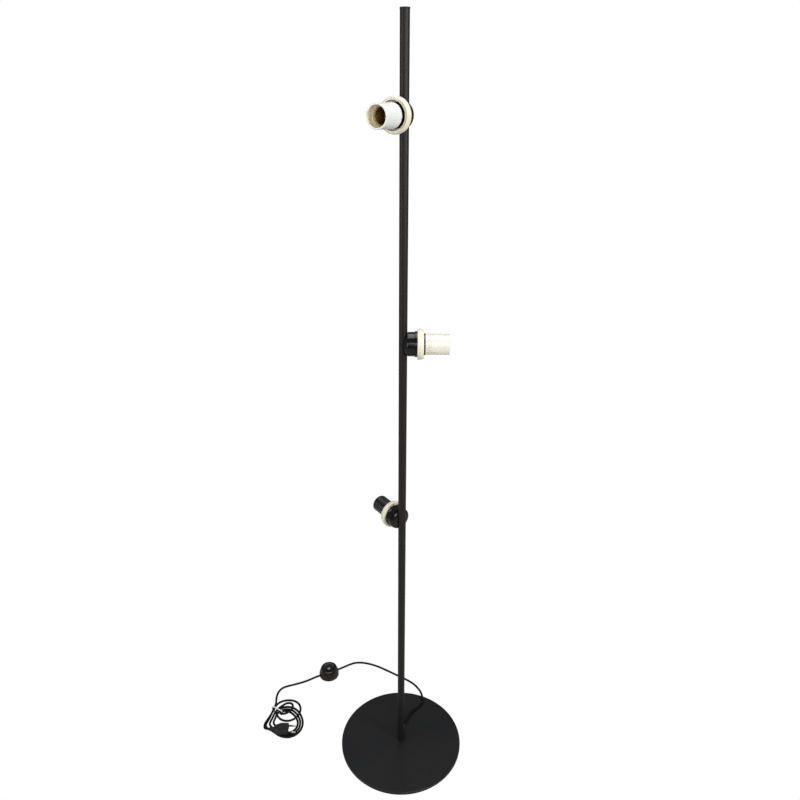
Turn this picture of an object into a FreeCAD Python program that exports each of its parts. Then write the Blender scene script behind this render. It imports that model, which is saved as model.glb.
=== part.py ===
import FreeCAD, Part

import math
import os
import re
import Sketcher

# A pole floor lamp with three bare lampholders, a foot switch and a tied coil of cord with its plug.
# Frame: millimetres, +Z up, floor at z = 0, pole on the Z axis, +X to the right and +Y to the back.
# Each lampholder is drawn in a frame of its own: its Z axis points out of the pole, its X axis points
# down, and the pole's axis passes through its origin, so a length along Z is a distance from that axis.

SIZES = {
    # disc and what holds the pole on it
    "pad_thickness": 1,
    "pad_inset": 5,
    "pad_recess_margin": 2,
    "disc_diameter": 291,
    "disc_thickness": 8,
    "disc_edge": 1.5,
    "recess_diameter": 30,
    "recess_depth": 5.2,
    "washer_diameter": 24,
    "washer_thickness": 1.6,
    "screw_diameter": 8,
    "screw_head_diameter": 14,
    "screw_head_height": 3.2,
    "screw_point_gap": 1,
    "foot_plug_length": 10,
    # pole
    "pole_diameter": 16,
    "pole_wall": 1.2,
    "pole_length": 1584,
    "top_cap_lip": 0.3,
    "top_cap_rim": 2,
    "top_cap_crown": 1,
    "top_cap_spigot": 8,
    "fit_gap": 0.05,
    "loose_gap": 0.2,
    "screw_hole_gap": 0.25,
    # grommet and cord
    "cord_diameter": 5.4,
    "cord_gap": 0.1,
    "cord_floor_gap": 0.05,
    "grommet_rise": 15,
    "grommet_azimuth": 75,
    "grommet_sleeve_diameter": 9,
    "grommet_tail": 1,
    "grommet_flange_diameter": 12.4,
    "grommet_flange_stand": 2.5,
    "grommet_nose_root": 11,
    "grommet_nose_tip": 7.4,
    "grommet_nose_length": 17.5,
    "lead_diameter": 5,
    "branch_diameter": 4.8,
    # where the lampholders sit around the pole, and how far below the pole's top or the one above
    "upper_drop": 152,
    "upper_azimuth": 240,
    "middle_drop": 398,
    "middle_azimuth": 0,
    "lower_drop": 392,
    "lower_azimuth": 126,
    # threaded nipple and its nut
    "nipple_diameter": 10,
    "nipple_wall": 1.4,
    "nipple_tail": 1.6,
    "nipple_end": 0.5,
    "nut_flats": 14,
    "nut_height": 3,
    # back cap
    "cap_wrap": 5.8,
    "cap_cheek": 1,
    "cap_dome_length": 6,
    "cap_dome_bulge": 2.2,
    "cap_dome_land": 0.6,
    "cap_dome_step": 0.4,
    "cap_groove_depth": 1,
    "cap_groove_width": 1,
    "cap_diameter": 46,
    "cap_barrel_length": 11.6,
    "cap_flare": 1.4,
    "cap_flare_length": 1,
    "cap_rim_width": 3.9,
    "cap_rim_bevel": 0.4,
    "cap_floor": 5.5,
    "cap_wall": 3,
    # threaded collar
    "collar_tail": 6,
    "collar_length": 10.7,
    "collar_bevel": 0.4,
    "collar_neck_diameter": 41.2,
    "collar_neck_length": 4.1,
    "collar_ledge": 5.5,
    # insulator, contact, screw shell and terminals
    "insulator_tail_diameter": 29.6,
    "insulator_tail_length": 12.5,
    "insulator_flange": 2,
    "insulator_diameter": 32.4,
    "insulator_length": 37,
    "insulator_floor": 14,
    "contact_rivet_diameter": 3.2,
    "contact_tail": 1,
    "contact_sink": 2,
    "contact_seat_gap": 0.3,
    "contact_head_diameter": 9,
    "contact_head_height": 0.8,
    "contact_crown": 1.4,
    "contact_flat": 1.5,
    "shell_bore": 26.7,
    "shell_wall": 0.4,
    "shell_floor": 0.5,
    "shell_floor_hole": 20,
    "shell_inset": 0.8,
    "terminal_offset": 8,
    "terminal_screw_diameter": 3,
    "terminal_screw_length": 7.5,
    "terminal_head_diameter": 5.8,
    "terminal_head_height": 2,
    "shell_seat_gap": 0.1,
    "hole_spare": 0.5,
    # skirts: the white pair and the slimmer black one
    "skirt_spigot_diameter": 36.6,
    "skirt_diameter": 39,
    "skirt_wall": 2.4,
    "skirt_length": 45.3,
    "black_skirt_diameter": 35.8,
    "black_skirt_wall": 1.4,
    "black_skirt_length": 41.5,
    "skirt_ridge_diameter": 40.2,
    "skirt_ridge_width": 2.1,
    "skirt_ridge_bevel": 0.3,
    "skirt_edge": 0.9,
    "skirt_lip_bore": 28.4,
    "skirt_lip_width": 1.6,
    "skirt_lip_gap": 0.4,
    "skirt_slot_setback": 7.8,
    "skirt_slot_width": 2.4,
    "skirt_slot_depth": 0.7,
    "skirt_slot_angle": 26,
    "vent_diameter": 2.8,
    "vent_reach": 16.2,
    "vent_azimuth": -60,
    "slide_gap": 0.3,
    # shade rings
    "ring_diameter": 58,
    "ring_width": 11.8,
    "ring_back_gap": 0.5,
    "ring_back_bevel": 0.4,
    "ring_chamfer_width": 5.1,
    "ring_chamfer_inset": 1.8,
    "ring_groove_depth": 0.3,
    "ring_groove_width": 0.8,
    "ring_groove_inset": 1.8,
    "ring_groove_pitch": 2.5,
    "ring_channel_inset": 0.8,
    "ring_channel_width": 1.4,
    "ring_channel_depth": 1,
    "ring_bridge": 2.6,
    # foot switch
    "switch_east": -199,
    "switch_north": 216,
    "switch_turn": 25,
    "switch_diameter": 53,
    "switch_base_thickness": 3,
    "switch_wall": 2,
    "switch_wall_height": 4,
    "switch_bevel_inset": 5.5,
    "switch_bevel_height": 17,
    "switch_crown": 0.5,
    "switch_crown_inset": 1.5,
    "switch_ceiling": 2,
    "switch_cord_height": 6,
    "switch_cord_hole_gap": 0.15,
    "switch_cord_end": 15.5,
    "button_diameter": 27,
    "button_gap": 0.4,
    "button_flange": 1.2,
    "button_flange_height": 2,
    "button_stem_diameter": 6.4,
    "button_stand": 2,
    "button_crown": 4,
    "button_flat": 2.5,
    "button_travel": 3,
    "bridge_length": 24,
    "bridge_width": 6,
    "bridge_thickness": 1,
    "contact_block_start": 8,
    "contact_block_width": 6,
    "contact_block_height": 3.4,
    "contact_break": 0.2,
    "spring_diameter": 8,
    "spring_wire": 0.6,
    "spring_turns": 4,
    "spring_end_gap": 0.1,
    "spring_post_diameter": 5,
    "spring_post_height": 2.5,
    "switch_screw_offset": 17.7,
    "switch_screw_diameter": 3,
    "switch_screw_length": 10.4,
    "switch_screw_head_diameter": 5.6,
    "switch_screw_head_height": 1.6,
    "switch_screw_sink": 2,
    "switch_post_diameter": 5,
    "switch_post_bite": 0.5,
    # plug
    "plug_face_east": -282,
    "plug_north": 23,
    "plug_height": 12.9,
    "plug_length": 36,
    "plug_face_width": 27,
    "plug_tail_width": 12,
    "plug_straight": 20,
    "plug_thickness": 14,
    "plug_rounding": 1.8,
    "pin_diameter": 4,
    "pin_length": 19,
    "pin_depth": 8,
    "pin_spacing": 19,
    "pin_tip": 1,
    "relief_length": 12,
    "relief_root": 10,
    "relief_tip": 6.8,
    # tie round the neck of the coil
    "tie_east": -319.6,
    "tie_north": 85.7,
    "tie_azimuth": 240,
    "tie_height": 7.5,
    "tie_opening_height": 13.6,
    "tie_opening_width": 31.6,
    "tie_corner": 2.8,
    "tie_thickness": 0.6,
    "tie_width": 3,
}

doc = FreeCAD.newDocument("PoleLamp")
sheet = doc.addObject("Spreadsheet::Sheet", "Sizes")
for row, (alias, value) in enumerate(SIZES.items(), start=1):
    sheet.set("A%d" % row, alias.replace("_", " "))
    sheet.set("B%d" % row, str(value))
    sheet.setAlias("B%d" % row, alias)
doc.recompute()

NODES = {}


# Expressions over the sizes ---------------------------------------------------------------------

def bound(text):
    """The expression as an object of the document needs it, with each size read from the sheet."""
    return re.sub(r"[a-z]+(?:_[a-z]+)+", lambda word: "Sizes." + word.group(0), str(text))


def number(text):
    """What an expression over the sizes comes to."""
    return float(sheet.evalExpression(str(text)))


def total(*terms):
    """The sum of several expressions, as one expression."""
    return "(" + " + ".join(str(term) for term in terms) + ")"


def less(first, *others):
    """The first expression minus the others."""
    return "(%s - %s)" % (first, " - ".join(str(other) for other in others))


def half(term):
    return "(%s / 2)" % term


# Ways of making a piece -------------------------------------------------------------------------

def sketch_outline(sketch, outline):
    """Draw one closed outline, anticlockwise, with every corner bound to the sizes.

    A corner is (across, up) or (across, up, bulge), where bulge is how far the side that leads to
    the corner swells outwards as an arc, or inwards if it is negative.
    """
    first = sketch.GeometryCount
    count = len(outline)
    corners = [(number(corner[0]), number(corner[1])) for corner in outline]
    flipped = []
    radii = {}
    for index in range(count):
        start = FreeCAD.Vector(*corners[index], 0)
        end = FreeCAD.Vector(*corners[(index + 1) % count], 0)
        target = outline[(index + 1) % count]
        if len(target) == 3:
            bulge = number(target[2])
            side = end - start
            outward = FreeCAD.Vector(side.y, -side.x, 0).normalize() * math.copysign(1, bulge)
            radius = side.Length ** 2 / (8 * abs(bulge)) + abs(bulge) / 2
            centre = (start + end) * 0.5 - outward * (radius - abs(bulge))
            ends = [start, end] if bulge > 0 else [end, start]
            angles = [math.atan2(point.y - centre.y, point.x - centre.x) for point in ends]
            if angles[1] < angles[0]:
                angles[1] += 2 * math.pi
            circle = Part.Circle(centre, FreeCAD.Vector(0, 0, 1), radius)
            sketch.addGeometry(Part.ArcOfCircle(circle, *angles))
            flipped.append(bulge < 0)
            here = outline[index]
            width = "((%s) - (%s))" % (target[0], here[0])
            rise = "((%s) - (%s))" % (target[1], here[1])
            chord = "(%s * %s + %s * %s)" % (width, width, rise, rise)
            radii[index] = "%s / (8 * abs(%s)) + abs(%s) / 2" % (chord, target[2], target[2])
        else:
            sketch.addGeometry(Part.LineSegment(start, end))
            flipped.append(False)
    constraints = []
    bindings = []
    for index in range(count):
        piece = first + index
        following = first + (index + 1) % count
        start_point = 2 if flipped[index] else 1
        end_point = 1 if flipped[index] else 2
        next_start = 2 if flipped[(index + 1) % count] else 1
        constraints.append(Sketcher.Constraint("Coincident", piece, end_point, following, next_start))
        bindings.append(None)
        for kind, axis, value, text in (("DistanceX", -2, corners[index][0], outline[index][0]),
                                        ("DistanceY", -1, corners[index][1], outline[index][1])):
            if str(text) == "0":
                constraints.append(Sketcher.Constraint("PointOnObject", piece, start_point, axis))
                bindings.append(None)
            else:
                constraints.append(Sketcher.Constraint(kind, -1, 1, piece, start_point, value))
                bindings.append(text)
        if index in radii:
            constraints.append(Sketcher.Constraint("Radius", piece, number(radii[index])))
            bindings.append(radii[index])
    added = sketch.addConstraint(constraints)
    for place, text in zip(added, bindings):
        if text is not None:
            sketch.setExpression("Constraints[%d]" % place, bound(text))


def sketch_in(body, plane, *outlines):
    """A sketch on one of the body's own planes, with one or more closed outlines."""
    sketch = body.newObject("Sketcher::SketchObject", body.Label + "_sketch")
    origin_plane = [item for item in body.Origin.OriginFeatures if item.Role == plane][0]
    sketch.AttachmentSupport = [(origin_plane, "")]
    sketch.MapMode = "FlatFace"
    for outline in outlines:
        sketch_outline(sketch, outline)
    return sketch


def turned(label, outline):
    """A piece turned about its Z axis; the outline's corners are (radius, height)."""
    body = doc.addObject("PartDesign::Body", label)
    sketch = sketch_in(body, "XZ_Plane", outline)
    feature = body.newObject("PartDesign::Revolution", label + "_turn")
    feature.Profile = sketch
    feature.ReferenceAxis = (sketch, ["V_Axis"])
    feature.Angle = 360
    sketch.Visibility = False
    return body


def padded(label, length, *outlines):
    """A piece with a flat outline, raised along its Z axis; a second outline is a hole in it."""
    body = doc.addObject("PartDesign::Body", label)
    sketch = sketch_in(body, "XY_Plane", *outlines)
    feature = body.newObject("PartDesign::Pad", label + "_pad")
    feature.Profile = sketch
    feature.setExpression("Length", bound(length))
    return body


def place(thing, at=(0, 0, 0), turn=(0, 0, 0)):
    """Place a piece: at is its origin, turn is its yaw, pitch and roll in degrees."""
    vector = "create(<<vector>>; %s; %s; %s)" % tuple(bound(term) for term in at)
    rotation = "create(<<rotation>>; %s; %s; %s)" % tuple(bound(term) for term in turn)
    thing.setExpression("Placement", "create(<<placement>>; %s; %s)" % (vector, rotation))
    return thing


def cylinder(label, radius, height, at=(0, 0, 0), turn=(0, 0, 0), angle=None):
    thing = doc.addObject("Part::Cylinder", label)
    thing.setExpression("Radius", bound(radius))
    thing.setExpression("Height", bound(height))
    if angle is not None:
        thing.setExpression("Angle", bound(angle))
    return place(thing, at, turn)


def box(label, sides, at):
    """A box with these three sides, its lowest corner at the given place."""
    thing = doc.addObject("Part::Box", label)
    for name, side in zip(("Length", "Width", "Height"), sides):
        thing.setExpression(name, bound(side))
    return place(thing, at)


def joined(label, *things):
    thing = doc.addObject("Part::MultiFuse", label)
    thing.Shapes = list(things)
    return thing


def group(label, *things):
    """Several separate solids in one object."""
    thing = doc.addObject("Part::Compound", label)
    thing.Links = list(things)
    return thing


CUTS = []


def cut(label, base, *tools):
    """The base less the tools; CUTS remembers it, so that its volume can be compared later."""
    tool = tools[0] if len(tools) == 1 else joined(label + "_tools", *tools)
    thing = doc.addObject("Part::Cut", label)
    thing.Base = base
    thing.Tool = tool
    CUTS.append(thing)
    return thing


def node(name, thing, at=None, turn=(0, 0, 0)):
    """Name a finished piece as a node of the lamp, and place it."""
    thing.Label = name
    if at is not None:
        place(thing, at, turn)
    NODES[name] = thing
    return thing


# Heights and radii that follow from the sizes -----------------------------------------------------

POLE_RADIUS = half("pole_diameter")
POLE_BORE = less(POLE_RADIUS, "pole_wall")
DISC_TOP = total("pad_thickness", "disc_thickness")
POLE_TOP = total(DISC_TOP, "pole_length")
RECESS_TOP = total("pad_thickness", "recess_depth")
GROMMET_HEIGHT = total(DISC_TOP, "grommet_rise")
GROMMET_FACE = total(POLE_RADIUS, "grommet_flange_stand")
GROMMET_END = total(GROMMET_FACE, "grommet_nose_length")
CORD_BORE = total(half("cord_diameter"), "cord_gap")

CAP_BACK = less(POLE_RADIUS, "cap_wrap")
DOME_END = total(CAP_BACK, "cap_dome_length")
GROOVE_START = total(DOME_END, "cap_dome_land")
BARREL_START = total(GROOVE_START, "cap_groove_width")
BARREL_END = total(BARREL_START, "cap_barrel_length")
CAP_RIM = total(BARREL_END, "cap_flare_length")
CAP_MOUTH = total(CAP_RIM, "cap_rim_width")
CAP_FLOOR = total(POLE_RADIUS, "cap_floor")
CAP_RADIUS = half("cap_diameter")
CAP_BORE = less(CAP_RADIUS, "cap_wall")
COLLAR_BACK = total(CAP_MOUTH, "loose_gap")
COLLAR_FRONT = total(COLLAR_BACK, "collar_length")
NECK_FRONT = total(COLLAR_FRONT, "collar_neck_length")
LEDGE = total(COLLAR_BACK, "collar_ledge")
SPIGOT_BORE = total(half("skirt_spigot_diameter"), "slide_gap")
INSULATOR_BACK = less(LEDGE, "insulator_tail_length")
INSULATOR_FLOOR = total(LEDGE, "insulator_floor")
CONTACT_SEAT = less(INSULATOR_FLOOR, "contact_sink")
INSULATOR_FRONT = total(LEDGE, "insulator_length")
SHELL_OUTER = total(half("shell_bore"), "shell_wall")
SKIRT_BACK = total(LEDGE, "insulator_flange", "loose_gap")
RIDGE_BACK = total(NECK_FRONT, "loose_gap")
LIP_BACK = total(INSULATOR_FRONT, "skirt_lip_gap")
RING_BACK = total(CAP_MOUTH, "ring_back_gap")
RING_FRONT = total(RING_BACK, "ring_width")
RING_BORE = total(CAP_RADIUS, "slide_gap")


# Disc, pad and what holds the pole ----------------------------------------------------------------

def base_disc():
    edge = "disc_edge"
    rim = half("disc_diameter")
    hole = total(half("screw_diameter"), "screw_hole_gap")
    round_off = less(edge, "%s / sqrt(2)" % edge)
    return turned("disc_turned", [
        (hole, RECESS_TOP),
        (half("recess_diameter"), RECESS_TOP),
        (half("recess_diameter"), "pad_thickness"),
        (less(rim, edge), "pad_thickness"),
        (rim, total("pad_thickness", edge), round_off),
        (rim, less(DISC_TOP, edge)),
        (less(rim, edge), DISC_TOP, round_off),
        (hole, DISC_TOP),
    ])


def base_pad():
    inner = total(half("recess_diameter"), "pad_recess_margin")
    outer = less(half("disc_diameter"), "pad_inset")
    return turned("pad_turned", [
        (inner, 0),
        (outer, 0),
        (outer, "pad_thickness"),
        (inner, "pad_thickness"),
    ])


def base_washer():
    bottom = less(RECESS_TOP, "washer_thickness")
    hole = total(half("screw_diameter"), "loose_gap")
    return turned("washer_turned", [
        (hole, bottom),
        (half("washer_diameter"), bottom),
        (half("washer_diameter"), RECESS_TOP),
        (hole, RECESS_TOP),
    ])


def base_screw():
    seat = less(RECESS_TOP, "washer_thickness")
    bottom = less(seat, "screw_head_height")
    point = less(total(DISC_TOP, "foot_plug_length"), "screw_point_gap")
    return turned("screw_turned", [
        (0, bottom),
        (half("screw_head_diameter"), bottom),
        (half("screw_head_diameter"), seat),
        (half("screw_diameter"), seat),
        (half("screw_diameter"), point),
        (0, point),
    ])


def pole_foot_plug():
    outer = less(POLE_BORE, "fit_gap")
    hole = total(half("screw_diameter"), "fit_gap")
    top = total(DISC_TOP, "foot_plug_length")
    return turned("foot_plug_turned", [
        (hole, DISC_TOP),
        (outer, DISC_TOP),
        (outer, top),
        (hole, top),
    ])


def pole_top_cap():
    spigot = less(POLE_BORE, "fit_gap")
    lip = total(POLE_RADIUS, "top_cap_lip")
    rim_top = total(POLE_TOP, "top_cap_rim")
    bottom = less(POLE_TOP, "top_cap_spigot")
    return turned("top_cap_turned", [
        (0, bottom),
        (spigot, bottom),
        (spigot, POLE_TOP),
        (lip, POLE_TOP),
        (lip, rim_top),
        (less(lip, "top_cap_crown"), total(rim_top, "top_cap_crown"), "top_cap_crown / 4"),
        (0, total(rim_top, "top_cap_crown")),
    ])


HOLDERS = ("upper", "middle", "lower")
HOLDER_HEIGHTS = {}
height_above = POLE_TOP
for holder in HOLDERS:
    height_above = less(height_above, holder + "_drop")
    HOLDER_HEIGHTS[holder] = height_above


def out_of_pole(holder):
    """Where a lampholder's frame sits: its origin on the pole's axis and its turn."""
    return (0, 0, HOLDER_HEIGHTS[holder]), (holder + "_azimuth", 90, 0)


def pole_tube():
    outer = cylinder("pole_outer", POLE_RADIUS, "pole_length", at=(0, 0, DISC_TOP))
    tools = [cylinder("pole_bore", POLE_BORE, "pole_length", at=(0, 0, DISC_TOP))]
    for holder in HOLDERS:
        at, turn = out_of_pole(holder)
        radius = total(half("nipple_diameter"), "fit_gap")
        tools.append(cylinder("pole_hole_" + holder, radius, "pole_diameter", at, turn))
    sleeve = total(half("grommet_sleeve_diameter"), "fit_gap")
    tools.append(cylinder("pole_hole_grommet", sleeve, "pole_diameter",
                          (0, 0, GROMMET_HEIGHT), ("grommet_azimuth", 90, 0)))
    return cut("pole_drilled", outer, *tools)


def cord_grommet():
    sleeve_back = less(POLE_BORE, "grommet_tail")
    sleeve = half("grommet_sleeve_diameter")
    body = turned("grommet_turned", [
        (0, sleeve_back),
        (sleeve, sleeve_back),
        (sleeve, GROMMET_FACE),
        (half("grommet_nose_root"), GROMMET_FACE),
        (half("grommet_nose_tip"), GROMMET_END),
        (0, GROMMET_END),
    ])
    disc = cylinder("grommet_disc", half("grommet_flange_diameter"), GROMMET_FACE)
    pole = cylinder("grommet_pole", total(POLE_RADIUS, "fit_gap"), "3 * pole_diameter",
                    at=("-1.5 * pole_diameter", 0, 0), turn=(0, 90, 0))
    flange = cut("grommet_flange", disc, pole)
    bore = cylinder("grommet_bore", CORD_BORE, "2 * " + GROMMET_END)
    return cut("grommet_bored", joined("grommet_whole", body, flange), bore)


def pole_lead():
    """The lead inside the pole: one stem, a branch into each lampholder and the way out below."""
    length = less(HOLDER_HEIGHTS["upper"], GROMMET_HEIGHT)
    parts = [cylinder("lead_stem", half("lead_diameter"), length, at=(0, 0, GROMMET_HEIGHT))]
    end = less(INSULATOR_BACK, "contact_tail", "loose_gap")
    for holder in HOLDERS:
        at, turn = out_of_pole(holder)
        parts.append(cylinder("lead_branch_" + holder, half("branch_diameter"), end, at, turn))
    parts.append(cylinder("lead_way_out", half("cord_diameter"), GROMMET_END,
                          (0, 0, GROMMET_HEIGHT), ("grommet_azimuth", 90, 0)))
    return joined("lead_whole", *parts)


# Lampholders --------------------------------------------------------------------------------------

def nipple(name):
    outer = half("nipple_diameter")
    inner = less(outer, "nipple_wall")
    back = less(POLE_BORE, "nipple_tail")
    front = total(CAP_FLOOR, "nut_height", "nipple_end")
    return turned(name, [(inner, back), (outer, back), (outer, front), (inner, front)])


def lock_nut(name):
    prism = doc.addObject("Part::Prism", name + "_prism")
    prism.Polygon = 6
    prism.setExpression("Circumradius", bound("nut_flats / sqrt(3)"))
    prism.setExpression("Height", bound("nut_height"))
    place(prism, at=(0, 0, CAP_FLOOR))
    bore = cylinder(name + "_bore", total(half("nipple_diameter"), "fit_gap"), "2 * " + CAP_FLOOR)
    return cut(name, prism, bore)


def back_cap(name):
    """The domed cap, saddled over the pole, with a groove behind its barrel and a flared rim."""
    back_radius = total(POLE_RADIUS, "cap_cheek")
    dome = less(CAP_RADIUS, "cap_dome_step")
    groove = less(CAP_RADIUS, "cap_groove_depth")
    rim = total(CAP_RADIUS, "cap_flare")
    bevel = "cap_rim_bevel"
    hole = total(half("nipple_diameter"), "loose_gap")
    body = turned(name + "_turned", [
        (hole, CAP_BACK),
        (back_radius, CAP_BACK),
        (dome, DOME_END, "cap_dome_bulge"),
        (dome, GROOVE_START),
        (groove, total(GROOVE_START, "cap_groove_width / 4")),
        (groove, less(BARREL_START, "cap_groove_width / 4")),
        (CAP_RADIUS, BARREL_START),
        (CAP_RADIUS, BARREL_END),
        (rim, CAP_RIM),
        (rim, less(CAP_MOUTH, bevel)),
        (less(rim, bevel), CAP_MOUTH),
        (CAP_BORE, CAP_MOUTH),
        (CAP_BORE, CAP_FLOOR),
        (hole, CAP_FLOOR),
    ])
    saddle = cylinder(name + "_saddle", total(POLE_RADIUS, "fit_gap"), "2 * cap_diameter",
                      at=("0 - cap_diameter", 0, 0), turn=(0, 90, 0))
    return cut(name, body, saddle)


def collar(name):
    tail = less(CAP_BORE, "loose_gap")
    tail_back = less(COLLAR_BACK, "collar_tail")
    bevel = "collar_bevel"
    neck = half("collar_neck_diameter")
    inner = total(half("insulator_tail_diameter"), "loose_gap")
    return turned(name, [
        (inner, tail_back),
        (tail, tail_back),
        (tail, COLLAR_BACK),
        (CAP_RADIUS, COLLAR_BACK),
        (CAP_RADIUS, less(COLLAR_FRONT, bevel)),
        (less(CAP_RADIUS, bevel), COLLAR_FRONT),
        (neck, COLLAR_FRONT),
        (neck, NECK_FRONT),
        (SPIGOT_BORE, NECK_FRONT),
        (SPIGOT_BORE, LEDGE),
        (inner, LEDGE),
    ])


def insulator(name):
    tail = half("insulator_tail_diameter")
    flange = less(SPIGOT_BORE, "loose_gap")
    flange_front = total(LEDGE, "insulator_flange")
    barrel = half("insulator_diameter")
    shell_seat = total(SHELL_OUTER, "shell_seat_gap")
    rivet = total(half("contact_rivet_diameter"), "fit_gap")
    well = total(half("contact_head_diameter"), "contact_seat_gap")
    body = turned(name + "_turned", [
        (rivet, INSULATOR_BACK),
        (tail, INSULATOR_BACK),
        (tail, LEDGE),
        (flange, LEDGE),
        (flange, flange_front),
        (barrel, flange_front),
        (barrel, INSULATOR_FRONT),
        (shell_seat, INSULATOR_FRONT),
        (shell_seat, INSULATOR_FLOOR),
        (well, INSULATOR_FLOOR),
        (well, CONTACT_SEAT),
        (rivet, CONTACT_SEAT),
    ])
    radius = total(half("terminal_screw_diameter"), "fit_gap")
    length = total("terminal_screw_length", "hole_spare")
    holes = []
    for index, side in enumerate(("terminal_offset", "0 - terminal_offset")):
        holes.append(cylinder("%s_hole_%d" % (name, index), radius, "2 * " + length,
                              at=(0, side, less(INSULATOR_BACK, length))))
    return cut(name, body, *holes)


def centre_contact(name):
    rivet = half("contact_rivet_diameter")
    head = half("contact_head_diameter")
    rim = total(CONTACT_SEAT, "contact_head_height")
    crown = total(rim, "contact_crown")
    back = less(INSULATOR_BACK, "contact_tail")
    return turned(name, [
        (0, back),
        (rivet, back),
        (rivet, CONTACT_SEAT),
        (head, CONTACT_SEAT),
        (head, rim),
        ("contact_flat", crown, "contact_crown / 4"),
        (0, crown),
    ])


def screw_shell(name):
    inner = half("shell_bore")
    hole = half("shell_floor_hole")
    front = less(INSULATOR_FRONT, "shell_inset")
    floor = total(INSULATOR_FLOOR, "shell_floor")
    return turned(name, [
        (hole, INSULATOR_FLOOR),
        (SHELL_OUTER, INSULATOR_FLOOR),
        (SHELL_OUTER, front),
        (inner, front),
        (inner, floor),
        (hole, floor),
    ])


def terminal_screws(name):
    """Two screws in the back of the insulator, one each side of the centre contact."""
    head = half("terminal_head_diameter")
    shank = half("terminal_screw_diameter")
    screws = []
    for index, side in enumerate(("terminal_offset", "0 - terminal_offset")):
        screw = turned("%s_%d" % (name, index + 1), [
            (0, less(INSULATOR_BACK, "terminal_head_height")),
            (head, less(INSULATOR_BACK, "terminal_head_height")),
            (head, INSULATOR_BACK),
            (shank, INSULATOR_BACK),
            (shank, total(INSULATOR_BACK, "terminal_screw_length")),
            (0, total(INSULATOR_BACK, "terminal_screw_length")),
        ])
        screws.append(place(screw, at=(0, side, 0)))
    return group(name, *screws)


def skirt(name, diameter, wall, length):
    """The tube round the screw shell: spigot, ridge, long barrel, inner lip, slots and a vent."""
    spigot = half("skirt_spigot_diameter")
    outer = half(diameter)
    bore = less(outer, wall)
    ridge = half("skirt_ridge_diameter")
    bevel = "skirt_ridge_bevel"
    ridge_front = total(RIDGE_BACK, "skirt_ridge_width")
    front = total(RIDGE_BACK, length)
    edge = "skirt_edge"
    lip_front = total(LIP_BACK, "skirt_lip_width")
    body = turned(name + "_turned", [
        (bore, SKIRT_BACK),
        (spigot, SKIRT_BACK),
        (spigot, RIDGE_BACK),
        (less(ridge, bevel), RIDGE_BACK),
        (ridge, total(RIDGE_BACK, bevel)),
        (ridge, ridge_front),
        (outer, total(ridge_front, bevel)),
        (outer, less(front, edge)),
        (less(outer, edge), front, less(edge, edge + " / sqrt(2)")),
        (total(bore, bevel), front),
        (bore, less(front, bevel)),
        (bore, lip_front),
        (half("skirt_lip_bore"), lip_front),
        (half("skirt_lip_bore"), LIP_BACK),
        (bore, LIP_BACK),
    ])
    tools = []
    slot = total(bore, "skirt_slot_depth")
    slot_back = less(front, "skirt_slot_setback")
    for index, azimuth in enumerate((0, 180, 270)):
        start = less(azimuth, half("skirt_slot_angle"))
        tools.append(cylinder("%s_slot_%d" % (name, index), slot, "skirt_slot_width",
                              (0, 0, slot_back), (start, 0, 0), "skirt_slot_angle"))
    tools.append(cylinder(name + "_vent", half("vent_diameter"), diameter,
                          (0, 0, total(RIDGE_BACK, "vent_reach")), ("vent_azimuth", 90, 0)))
    return cut(name, body, *tools)


def shade_ring(name):
    """The ring that clamps a shade: two fine grooves round its rim, and a channel in its face that
    four bridges break."""
    rim = half("ring_diameter")
    bevel = "ring_back_bevel"
    groove = "ring_groove_depth"
    corners = [
        (RING_BORE, RING_BACK),
        (less(rim, bevel), RING_BACK),
        (rim, total(RING_BACK, bevel)),
    ]
    for index in range(2):
        start = total(RING_BACK, "ring_groove_inset", "%d * ring_groove_pitch" % index)
        corners.append((rim, start))
        corners.append((less(rim, groove), total(start, half("ring_groove_width"))))
        corners.append((rim, total(start, "ring_groove_width")))
    face = less(rim, "ring_chamfer_inset")
    corners.append((rim, less(RING_FRONT, "ring_chamfer_width")))
    corners.append((face, RING_FRONT))
    corners.append((RING_BORE, RING_FRONT))
    body = turned(name + "_turned", corners)
    outer = less(face, "ring_channel_inset")
    inner = less(outer, "ring_channel_width")
    floor = less(RING_FRONT, "ring_channel_depth")
    deep = "2 * ring_channel_depth"
    channel = cut(name + "_channel",
                  cylinder(name + "_channel_outer", outer, deep, at=(0, 0, floor)),
                  cylinder(name + "_channel_inner", inner, deep, at=(0, 0, floor)))
    wide = "ring_bridge"
    long = "ring_diameter"
    tall = "4 * ring_channel_depth"
    low = less(floor, "ring_channel_depth")
    start = "0 - ring_diameter / 2"
    side = "0 - ring_bridge / 2"
    bridges = [
        box(name + "_bridge_down", (long, wide, tall), (start, side, low)),
        box(name + "_bridge_side", (wide, long, tall), (side, start, low)),
    ]
    return cut(name, body, cut(name + "_channels", channel, *bridges))


# Foot switch: drawn about its own centre, with its cords along X -----------------------------------

SWITCH_SEAT = "switch_base_thickness"
SWITCH_RADIUS = half("switch_diameter")
SWITCH_SHOULDER = total(SWITCH_SEAT, "switch_wall_height")
SWITCH_BEVEL_TOP = total(SWITCH_SHOULDER, "switch_bevel_height")
SWITCH_TOP = total(SWITCH_BEVEL_TOP, "switch_crown")
SWITCH_CEILING = less(SWITCH_TOP, "switch_ceiling")
CONTACT_TOP = total(SWITCH_SEAT, "contact_block_height")
BRIDGE_BOTTOM = total(CONTACT_TOP, "contact_break", "button_travel")
BRIDGE_TOP = total(BRIDGE_BOTTOM, "bridge_thickness")
FLANGE_TOP = less(SWITCH_CEILING, "slide_gap")
SCREW_HEAD_TOP = "switch_screw_sink"
SWITCH_AT = ("switch_east", "switch_north", 0)
SWITCH_ROTATION = ("switch_turn", 0, 0)
SCREW_SIDES = ("switch_screw_offset", "0 - switch_screw_offset")


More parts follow.
